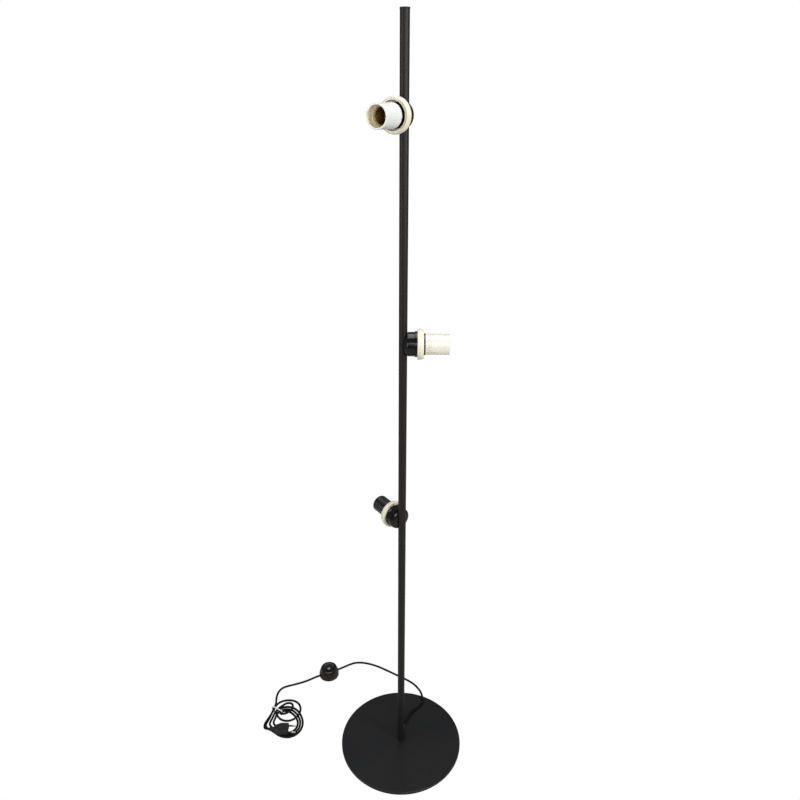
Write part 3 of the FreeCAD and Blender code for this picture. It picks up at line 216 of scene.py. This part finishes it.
pole_to_switch = [
    (0.00725, 0.02705, 0.024),
    (0.01165, 0.0435, 0.024),
    (0.0185, 0.06, 0.019),
    (0.029, 0.079, 0.0136),
    (0.042, 0.093, 0.012),
    (0.057, 0.106, 0.012),
    (0.0575, 0.121, 0.0134),
    (0.054, 0.133, 0.0163),
    (0.0505, 0.1455, 0.0146),
    (0.046, 0.159, 0.0083),
    (0.0385, 0.174, 0.0042),
    (0.028, 0.1855, floor_line),
    (0.012, 0.197, floor_line),
    (-0.011, 0.2105, floor_line),
    (-0.0395, 0.2277, floor_line),
    (-0.068, 0.244, floor_line),
    (-0.098, 0.2545, floor_line),
    (-0.121, 0.2565, 0.0029),
    (-0.137, 0.252, 0.0036),
    (-0.1535, 0.241, 0.0048),
    (-0.1709, 0.2291, 0.006),
    (-0.18495, 0.22255, 0.006),
]
first_cord = cord_curve("cord_from_pole", pole_to_switch)
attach(first_cord, "lamp")
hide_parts("cord_pole_to_switch")

switch_to_plug = [
    (-0.21305, 0.20945, 0.006),
    (-0.23253, 0.20036, 0.006),
    (-0.25296, 0.18974, 0.0031),
    (-0.27785, 0.17923, floor_line),
    (-0.30268, 0.17096, floor_line),
    (-0.319, 0.1645, floor_line),
    (-0.329, 0.149, floor_line),
    (-0.3305, 0.131, floor_line),
    (-0.3285, 0.112, floor_line),
    (-0.3285, 0.1066, floor_line),
]
switch_to_plug += [floor_turn(angle) for angle in range(coil_start, 1195, angle_step)]
switch_to_plug += [raised_loop((-0.2995, 0.0895), 0.021, 0.0145, 45, 200, 0.006, 0, angle)
                   for angle in range(200, 426, angle_step)]
switch_to_plug += [raised_loop((-0.291, 0.084), 0.0335, 0.031, 90, 90, 0.0065, 0.0035, angle)
                   for angle in range(90, 451, angle_step)]
switch_to_plug += [
    (-0.3385, 0.056, 0.0096),
    (-0.3428, 0.044, 0.0112),
    (-0.3442, 0.033, 0.0125),
    (-0.342, 0.0245, 0.0129),
    (-0.3354, 0.023, 0.0129),
    (-0.318, 0.023, 0.0129),
]
second_cord = cord_curve("cord_to_plug", switch_to_plug)
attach(second_cord, "lamp")
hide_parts("cord_switch_to_coil", "cord_coil")


# Surface effects ----------------------------------------------------------------------------------
# Two node groups that the materials below share. One varies colour and roughness slowly over a piece
# and adds a fine grain as a bump. The other measures a point's distance from an axis and along it.
# In a Mix node for colours, socket 0 is the factor, 6 and 7 are the two colours and output 2 is theirs.

finish_group = bpy.data.node_groups.new("finish", "ShaderNodeTree")
finish_inputs = (
    ("Vector", "NodeSocketVector", None),
    ("Base", "NodeSocketColor", None),
    ("Worn", "NodeSocketColor", None),
    ("Patch Scale", "NodeSocketFloat", 20),
    ("Grain Scale", "NodeSocketFloat", 1500),
    ("Grain Depth", "NodeSocketFloat", 2e-5),
    ("Rough Low", "NodeSocketFloat", 0.3),
    ("Rough High", "NodeSocketFloat", 0.5),
)
for label, kind, value in finish_inputs:
    socket = finish_group.interface.new_socket(label, in_out="INPUT", socket_type=kind)
    if value is not None:
        socket.default_value = value
for label, kind in (("Color", "NodeSocketColor"), ("Roughness", "NodeSocketFloat"),
                    ("Normal", "NodeSocketVector")):
    finish_group.interface.new_socket(label, in_out="OUTPUT", socket_type=kind)
link = finish_group.links.new
entry = finish_group.nodes.new("NodeGroupInput")
leave = finish_group.nodes.new("NodeGroupOutput")
patches = finish_group.nodes.new("ShaderNodeTexNoise")
patches.inputs["Detail"].default_value = 4
patches.inputs["Roughness"].default_value = 0.6
link(entry.outputs["Vector"], patches.inputs["Vector"])
link(entry.outputs["Patch Scale"], patches.inputs["Scale"])
spread = finish_group.nodes.new("ShaderNodeMapRange")
spread.inputs["From Min"].default_value = 0.32
spread.inputs["From Max"].default_value = 0.7
link(patches.outputs["Fac"], spread.inputs["Value"])
tone = finish_group.nodes.new("ShaderNodeMix")
tone.data_type = "RGBA"
link(spread.outputs["Result"], tone.inputs[0])
link(entry.outputs["Base"], tone.inputs[6])
link(entry.outputs["Worn"], tone.inputs[7])
link(tone.outputs[2], leave.inputs["Color"])
gloss = finish_group.nodes.new("ShaderNodeMapRange")
link(patches.outputs["Fac"], gloss.inputs["Value"])
link(entry.outputs["Rough Low"], gloss.inputs["To Min"])
link(entry.outputs["Rough High"], gloss.inputs["To Max"])
link(gloss.outputs["Result"], leave.inputs["Roughness"])
grain = finish_group.nodes.new("ShaderNodeTexNoise")
grain.inputs["Detail"].default_value = 2
link(entry.outputs["Vector"], grain.inputs["Vector"])
link(entry.outputs["Grain Scale"], grain.inputs["Scale"])
bump = finish_group.nodes.new("ShaderNodeBump")
bump.inputs["Strength"].default_value = 1.0
link(grain.outputs["Fac"], bump.inputs["Height"])
link(entry.outputs["Grain Depth"], bump.inputs["Distance"])
link(bump.outputs["Normal"], leave.inputs["Normal"])

axis_group = bpy.data.node_groups.new("about_axis", "ShaderNodeTree")
for label in ("Vector", "Origin", "Axis"):
    axis_group.interface.new_socket(label, in_out="INPUT", socket_type="NodeSocketVector")
for label in ("Radius", "Along"):
    axis_group.interface.new_socket(label, in_out="OUTPUT", socket_type="NodeSocketFloat")
link = axis_group.links.new
entry = axis_group.nodes.new("NodeGroupInput")
leave = axis_group.nodes.new("NodeGroupOutput")
offset = axis_group.nodes.new("ShaderNodeVectorMath")
offset.operation = "SUBTRACT"
link(entry.outputs["Vector"], offset.inputs[0])
link(entry.outputs["Origin"], offset.inputs[1])
along = axis_group.nodes.new("ShaderNodeVectorMath")
along.operation = "DOT_PRODUCT"
link(offset.outputs["Vector"], along.inputs[0])
link(entry.outputs["Axis"], along.inputs[1])
link(along.outputs["Value"], leave.inputs["Along"])
sideways = axis_group.nodes.new("ShaderNodeVectorMath")
sideways.operation = "CROSS_PRODUCT"
link(offset.outputs["Vector"], sideways.inputs[0])
link(entry.outputs["Axis"], sideways.inputs[1])
length = axis_group.nodes.new("ShaderNodeVectorMath")
length.operation = "LENGTH"
link(sideways.outputs["Vector"], length.inputs[0])
link(length.outputs["Value"], leave.inputs["Radius"])


def finished(name, base, worn, patch, grain, depth, rough, metallic=0.0, coat=0.0, specular=0.5):
    """A material whose colour, roughness and bump come from the finish group, on object coordinates."""
    material = bpy.data.materials.new(name)
    material.use_nodes = True
    tree = material.node_tree
    shader = tree.nodes["Principled BSDF"]
    place = tree.nodes.new("ShaderNodeTexCoord")
    finish = tree.nodes.new("ShaderNodeGroup")
    finish.node_tree = finish_group
    finish.name = "Finish"
    finish.inputs["Base"].default_value = (*base, 1)
    finish.inputs["Worn"].default_value = (*worn, 1)
    finish.inputs["Patch Scale"].default_value = patch
    finish.inputs["Grain Scale"].default_value = grain
    finish.inputs["Grain Depth"].default_value = depth
    finish.inputs["Rough Low"].default_value = rough[0]
    finish.inputs["Rough High"].default_value = rough[1]
    tree.links.new(place.outputs["Object"], finish.inputs["Vector"])
    tree.links.new(finish.outputs["Color"], shader.inputs["Base Color"])
    tree.links.new(finish.outputs["Roughness"], shader.inputs["Roughness"])
    tree.links.new(finish.outputs["Normal"], shader.inputs["Normal"])
    shader.inputs["Metallic"].default_value = metallic
    shader.inputs["Specular IOR Level"].default_value = specular
    shader.inputs["Coat Weight"].default_value = coat
    shader.inputs["Coat Roughness"].default_value = 0.08
    return material


def dress(material, *names):
    """Give CAD nodes a material in their own material slots."""
    for name in names:
        slots = nodes[name].data.materials
        if len(slots) == 0:
            slots.append(material)
        for index in range(len(slots)):
            slots[index] = material


def recolour(material, mask_socket, colour):
    """Mix one more colour over a material's base colour, where a mask says."""
    tree = material.node_tree
    shader = tree.nodes["Principled BSDF"]
    before = shader.inputs["Base Color"].links[0].from_socket
    mix = tree.nodes.new("ShaderNodeMix")
    mix.data_type = "RGBA"
    mix.inputs[7].default_value = (*colour, 1)
    tree.links.new(mask_socket, mix.inputs[0])
    tree.links.new(before, mix.inputs[6])
    tree.links.new(mix.outputs[2], shader.inputs["Base Color"])


def ramp(tree, value, low, high):
    """A clamped ramp that is 0 at low and 1 at high."""
    node = tree.nodes.new("ShaderNodeMapRange")
    node.inputs["From Min"].default_value = low
    node.inputs["From Max"].default_value = high
    tree.links.new(value, node.inputs["Value"])
    return node.outputs["Result"]


# Base disc ----------------------------------------------------------------------------------------
# A round steel plate with a satin charcoal powder coat: a fine orange-peel with a few specks of dust
# on it. It lies on a thin felt pad.

disc_paint = finished("disc_paint", (0.0095, 0.0098, 0.0105), (0.0125, 0.0125, 0.013),
                      patch=6, grain=900, depth=0.00001, rough=(0.3, 0.42), specular=0.22)
tree = disc_paint.node_tree
place = tree.nodes.new("ShaderNodeTexCoord")
specks = tree.nodes.new("ShaderNodeTexVoronoi")
specks.inputs["Scale"].default_value = 130
tree.links.new(place.outputs["Object"], specks.inputs["Vector"])
dust = ramp(tree, specks.outputs["Distance"], 0.055, 0.03)
sparse = tree.nodes.new("ShaderNodeTexNoise")
sparse.inputs["Scale"].default_value = 45
tree.links.new(place.outputs["Object"], sparse.inputs["Vector"])
where = ramp(tree, sparse.outputs["Fac"], 0.55, 0.7)
both = tree.nodes.new("ShaderNodeMath")
both.operation = "MULTIPLY"
tree.links.new(dust, both.inputs[0])
tree.links.new(where, both.inputs[1])
faint = tree.nodes.new("ShaderNodeMath")
faint.operation = "MULTIPLY"
faint.inputs[1].default_value = 0.35
tree.links.new(both.outputs[0], faint.inputs[0])
recolour(disc_paint, faint.outputs[0], (0.2, 0.19, 0.18))
dress(disc_paint, "base_disc")
felt = finished("felt", (0.02, 0.02, 0.02), (0.035, 0.033, 0.032),
                patch=60, grain=2500, depth=0.0003, rough=(0.9, 1.0))
dress(felt, "base_pad")


# Pole ---------------------------------------------------------------------------------------------
# A steel tube in the same charcoal, which goes a little browner towards the top. A dull moulded cap
# closes it. The rubber grommet just above the disc lets the cord out.

pole_paint = finished("pole_paint", (0.0075, 0.0073, 0.0073), (0.0095, 0.0092, 0.0092),
                      patch=12, grain=1100, depth=0.000003, rough=(0.42, 0.52), specular=0.3)
tree = pole_paint.node_tree
place = tree.nodes.new("ShaderNodeTexCoord")
split = tree.nodes.new("ShaderNodeSeparateXYZ")
tree.links.new(place.outputs["Object"], split.inputs[0])
higher = ramp(tree, split.outputs["Z"], 0.5, 1.7)
recolour(pole_paint, higher, (0.0115, 0.008, 0.0072))
dress(pole_paint, "pole_tube")
cap_plastic = finished("cap_plastic", (0.008, 0.008, 0.008), (0.012, 0.0115, 0.011),
                       patch=90, grain=1800, depth=0.00001, rough=(0.45, 0.6), specular=0.3)
dress(cap_plastic, "pole_top_cap")
grommet_rubber = finished("grommet_rubber", (0.012, 0.012, 0.012), (0.02, 0.02, 0.019),
                          patch=150, grain=2200, depth=0.00005, rough=(0.6, 0.75))
dress(grommet_rubber, "cord_grommet")
plated_steel = finished("plated_steel", (0.5, 0.5, 0.47), (0.62, 0.6, 0.52),
                        patch=150, grain=3000, depth=0.00001, rough=(0.25, 0.4), metallic=1.0)
dress(plated_steel, "base_washer", "base_screw", "pole_foot_plug", "switch_screws")
lead_jacket = finished("lead_jacket", (0.03, 0.03, 0.03), (0.045, 0.043, 0.04),
                       patch=100, grain=1800, depth=0.00002, rough=(0.4, 0.55))
dress(lead_jacket, "pole_lead")


# Back caps and collars ----------------------------------------------------------------------------
# Glossy moulded black plastic with a deep shine that varies softly over each piece. The table says
# where each lampholder points, in degrees about the pole, and how high it is, in metres.

holders = {
    "upper": (240, 1.441),
    "middle": (0, 1.043),
    "lower": (126, 0.651),
}
black_plastic = finished("black_plastic", (0.0018, 0.0018, 0.002), (0.0035, 0.003, 0.003),
                         patch=140, grain=500, depth=0.00001, rough=(0.07, 0.14), coat=0.2,
                         specular=0.3)
for holder in holders:
    dress(black_plastic, holder + "_back_cap", holder + "_collar")
    dress(plated_steel, holder + "_nipple", holder + "_lock_nut")


# Shade rings --------------------------------------------------------------------------------------
# Cream plastic that has yellowed a little unevenly, with a fine grain and a soft shine. The three
# rings share it.

cream_plastic = finished("cream_plastic", (0.81, 0.775, 0.63), (0.78, 0.735, 0.58),
                         patch=25, grain=900, depth=0.000002, rough=(0.3, 0.45))
for holder in holders:
    dress(cream_plastic, holder + "_shade_ring")


# Skirts -------------------------------------------------------------------------------------------
# The uppermost is a cool glossy white and the middle one a warmer white, and both are baked to beige
# inside by the bulb's heat; deeper in, where the bore narrows, a darker brown is painted shade.
# The lowest is glossy black, a little brown, with faint ribs across it.

def holder_frame(holder):
    """Where a lampholder's axis starts, on the pole's axis, and the way it points."""
    azimuth, height = holders[holder]
    turn = math.radians(azimuth)
    return np.array((0, 0, height)), np.array((math.cos(turn), math.sin(turn), 0))


def axis_distance(tree, holder):
    """Sockets Radius, a point's distance from the holder's axis, and Along, its distance along it."""
    origin, axis = holder_frame(holder)
    place = tree.nodes.new("ShaderNodeTexCoord")
    about = tree.nodes.new("ShaderNodeGroup")
    about.node_tree = axis_group
    about.inputs["Origin"].default_value = origin
    about.inputs["Axis"].default_value = axis
    tree.links.new(place.outputs["Object"], about.inputs["Vector"])
    return about.outputs


white_tones = {
    "upper": ((0.76, 0.79, 0.78), (0.74, 0.76, 0.73)),
    "middle": ((0.83, 0.81, 0.72), (0.79, 0.765, 0.66)),
}
for holder, tones in white_tones.items():
    white_plastic = finished(holder + "_white_plastic", *tones,
                             patch=25, grain=700, depth=0.000003, rough=(0.2, 0.32), coat=0.1)
    radius = axis_distance(white_plastic.node_tree, holder)["Radius"]
    inside = ramp(white_plastic.node_tree, radius, 0.0184, 0.0176)
    recolour(white_plastic, inside, (0.9, 0.85, 0.66))
    # Painted shade: deeper in, where the bore narrows to the spigot, the inside goes a darker brown.
    deep = ramp(white_plastic.node_tree, radius, 0.0166, 0.0155)
    recolour(white_plastic, deep, (0.6, 0.47, 0.3))
    dress(white_plastic, holder + "_skirt")

black_skirt = finished("black_skirt", (0.0035, 0.0025, 0.002), (0.007, 0.0045, 0.0035),
                       patch=120, grain=600, depth=0.00001, rough=(0.14, 0.26), coat=0.2,
                       specular=0.35)
rib_spacing = 0.0052
rib_height = 0.00025
tree = black_skirt.node_tree
ribs = tree.nodes.new("ShaderNodeMath")
ribs.operation = "SINE"
pitch_of_ribs = tree.nodes.new("ShaderNodeMath")
pitch_of_ribs.operation = "MULTIPLY"
pitch_of_ribs.inputs[1].default_value = 2 * math.pi / rib_spacing
tree.links.new(axis_distance(tree, "lower")["Along"], pitch_of_ribs.inputs[0])
tree.links.new(pitch_of_ribs.outputs[0], ribs.inputs[0])
rib_bump = tree.nodes.new("ShaderNodeBump")
rib_bump.inputs["Distance"].default_value = rib_height
tree.links.new(ribs.outputs[0], rib_bump.inputs["Height"])
tree.links.new(tree.nodes["Finish"].outputs["Normal"], rib_bump.inputs["Normal"])
tree.links.new(rib_bump.outputs["Normal"], tree.nodes["Principled BSDF"].inputs["Normal"])
dress(black_skirt, "lower_skirt")


# Insulators and contacts --------------------------------------------------------------------------
# Brown heat-proof moulding, with a dull brass centre contact and terminal screws. The foot switch's
# contacts are of the same brass.

brown_plastic = finished("brown_plastic", (0.58, 0.42, 0.25), (0.68, 0.52, 0.34),
                         patch=150, grain=1400, depth=0.00001, rough=(0.4, 0.6))
brass = finished("brass", (0.42, 0.29, 0.11), (0.25, 0.16, 0.07),
                 patch=220, grain=2500, depth=0.00002, rough=(0.28, 0.5), metallic=1.0)
for holder in holders:
    dress(brown_plastic, holder + "_insulator")
    dress(brass, holder + "_centre_contact", holder + "_terminal_screws")
dress(brass, "switch_bridge", "switch_contact_in", "switch_contact_out")


# Screw shells -------------------------------------------------------------------------------------
# Thin brass rolled into the bulb's thread, seven turns to the inch, with a flat floor that has a round
# hole for the contact, its grooves darkened with painted shade. Each stands in for the plain
# shell of the CAD model.

shell_start = 0.046         # from the pole's axis to the back of the shell's floor
shell_length = 0.0217
shell_radius = 0.01285      # halfway between the thread's crests and roots
thread_pitch = 0.00363
thread_depth = 0.0005
plain_rise = 0.0004         # how much wider the plain ends are than the shell's middle radius
fade_length = 0.0015        # over which the thread dies away at each end
floor_thickness = 0.0005
wall_thickness = 0.0003
hole_radius = 0.010


def rolled_shell(name, holder):
    """A closed grid: shell_radius + thread_depth cos(2 pi depth / thread_pitch - turn), with a floor."""
    origin, axis = holder_frame(holder)
    down = np.array((0, 0, -1.0))
    side = np.cross(axis, down)
    turns = np.linspace(0, 2 * np.pi, 64, endpoint=False)
    depth = np.linspace(floor_thickness, shell_length, 75)
    wave = thread_depth * np.cos(2 * np.pi * depth[None, :] / thread_pitch - turns[:, None])
    fade = np.clip(np.minimum(depth, depth[-1] - depth) / fade_length, 0, 1)[None, :]
    wall = shell_radius + wave * fade + plain_rise * (1 - fade)
    lip = np.full((len(turns), 1), hole_radius)
    radius = np.hstack([lip, wall, wall[:, ::-1] + wall_thickness, lip])
    outside = np.concatenate([[0.0], depth[1:]])
    height = np.concatenate([[floor_thickness], depth, outside[::-1], [0.0]])
    along = shell_start + np.broadcast_to(height, radius.shape)
    points = origin + along[..., None] * axis
    points = points + (radius * np.cos(turns)[:, None])[..., None] * down
    points = points + (radius * np.sin(turns)[:, None])[..., None] * side
    rows, columns = radius.shape
    faces = []
    for row in range(rows):
        for column in range(columns):
            following = (row + 1) % rows
            beside = (column + 1) % columns
            faces.append((row * columns + column, row * columns + beside,
                          following * columns + beside, following * columns + column))
    mesh = bpy.data.meshes.new(name)
    mesh.from_pydata(points.reshape(-1, 3).tolist(), [], faces)
    mesh.polygons.foreach_set("use_smooth", [True] * len(faces))
    mesh.update()
    shell = bpy.data.objects.new(name, mesh)
    scene.collection.objects.link(shell)
    return shell


for holder in holders:
    shell_brass = finished(holder + "_shell_brass", (0.4, 0.27, 0.1), (0.2, 0.12, 0.055),
                           patch=260, grain=2500, depth=0.00002, rough=(0.25, 0.5), metallic=1.0)
    radius = axis_distance(shell_brass.node_tree, holder)["Radius"]
    # Painted shade: where the wall is wider, in the thread's grooves, the brass is mixed towards a dark
    # brown.
    groove_shade = ramp(shell_brass.node_tree, radius, 0.0127, 0.0133)
    recolour(shell_brass, groove_shade, (0.2, 0.12, 0.05))
    shell = rolled_shell(holder + "_rolled_shell", holder)
    shell.data.materials.append(shell_brass)
    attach(shell, "lamp")
    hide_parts(holder + "_screw_shell")


# Foot switch --------------------------------------------------------------------------------------
# Glossy black housing and base, with a domed button that shoes have polished. Inside it is the return
# spring, a wire helix.

switch_plastic = finished("switch_plastic", (0.004, 0.0036, 0.0035), (0.0065, 0.0055, 0.005),
                          patch=90, grain=450, depth=0.00001, rough=(0.16, 0.28), coat=0.2,
                          specular=0.35)
dress(switch_plastic, "switch_base", "switch_cover")
button_plastic = finished("button_plastic", (0.005, 0.003, 0.0024), (0.009, 0.0055, 0.0045),
                          patch=160, grain=700, depth=0.00001, rough=(0.08, 0.16), coat=0.5,
                          specular=0.4)
dress(button_plastic, "switch_button")
switch_centre = (-0.199, 0.216)
spring_radius = 0.0037
wire_radius = 0.0003
spring_foot = 0.0034
spring_length = 0.0058
steps_in_turn = 16
spring_steps = 4 * steps_in_turn
spring_curve = bpy.data.curves.new("return_spring", "CURVE")
spring_curve.dimensions = "3D"
spring_line = spring_curve.splines.new("NURBS")
spring_line.points.add(spring_steps)
for index, point in enumerate(spring_line.points):
    turn = 2 * math.pi * index / steps_in_turn
    east = switch_centre[0] + spring_radius * math.cos(turn)
    north = switch_centre[1] + spring_radius * math.sin(turn)
    height = spring_foot + spring_length * index / spring_steps
    point.co = (east, north, height, 1)
    point.radius = wire_radius
spring_line.order_u = 3
spring_line.use_endpoint_u = True
spring_curve.bevel_depth = 1.0
spring_curve.bevel_resolution = 3
spring_curve.use_fill_caps = True
spring_mesh = bpy.data.meshes.new_from_object(bpy.data.objects.new("spring_line", spring_curve))
spring_mesh.materials.clear()
spring_mesh.materials.append(plated_steel)
return_spring = bpy.data.objects.new("return_spring", spring_mesh)
scene.collection.objects.link(return_spring)
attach(return_spring, "lamp")
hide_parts("switch_spring")
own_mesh(return_spring)


# Plug, tie and the cord's jacket ------------------------------------------------------------------
# The plug is dull moulded black with nickel-plated pins whose back halves are sleeved in black. A thin
# white band ties the coil. The jacket is smooth black plastic with a soft shine.

plug_plastic = finished("plug_plastic", (0.009, 0.009, 0.009), (0.014, 0.0135, 0.013),
                        patch=100, grain=1500, depth=0.00002, rough=(0.38, 0.52), specular=0.3)
dress(plug_plastic, "plug_body", "plug_relief")
pin_metal = finished("pin_metal", (0.68, 0.66, 0.6), (0.55, 0.52, 0.45),
                     patch=300, grain=2500, depth=0.00001, rough=(0.18, 0.32), metallic=1.0)
tree = pin_metal.node_tree
place = tree.nodes.new("ShaderNodeTexCoord")
split = tree.nodes.new("ShaderNodeSeparateXYZ")
tree.links.new(place.outputs["Object"], split.inputs[0])
bare_to, sleeve_from = -0.2715, -0.272      # where a pin's bare end meets its sleeve, along x
sleeve = ramp(tree, split.outputs["X"], bare_to, sleeve_from)
recolour(pin_metal, sleeve, (0.012, 0.012, 0.012))
bare = ramp(tree, split.outputs["X"], sleeve_from, bare_to)
tree.links.new(bare, tree.nodes["Principled BSDF"].inputs["Metallic"])
dress(pin_metal, "plug_pin_1", "plug_pin_2")
tie_plastic = finished("tie_plastic", (0.78, 0.78, 0.76), (0.62, 0.62, 0.6),
                       patch=200, grain=1500, depth=0.00003, rough=(0.4, 0.55))
dress(tie_plastic, "cord_tie")
jacket = finished("cord_jacket", (0.0035, 0.0035, 0.004), (0.006, 0.0058, 0.0056),
                  patch=70, grain=900, depth=0.00001, rough=(0.34, 0.46), specular=0.12)
first_cord.data.materials.append(jacket)
second_cord.data.materials.append(jacket)


bpy.context.view_layer.update()
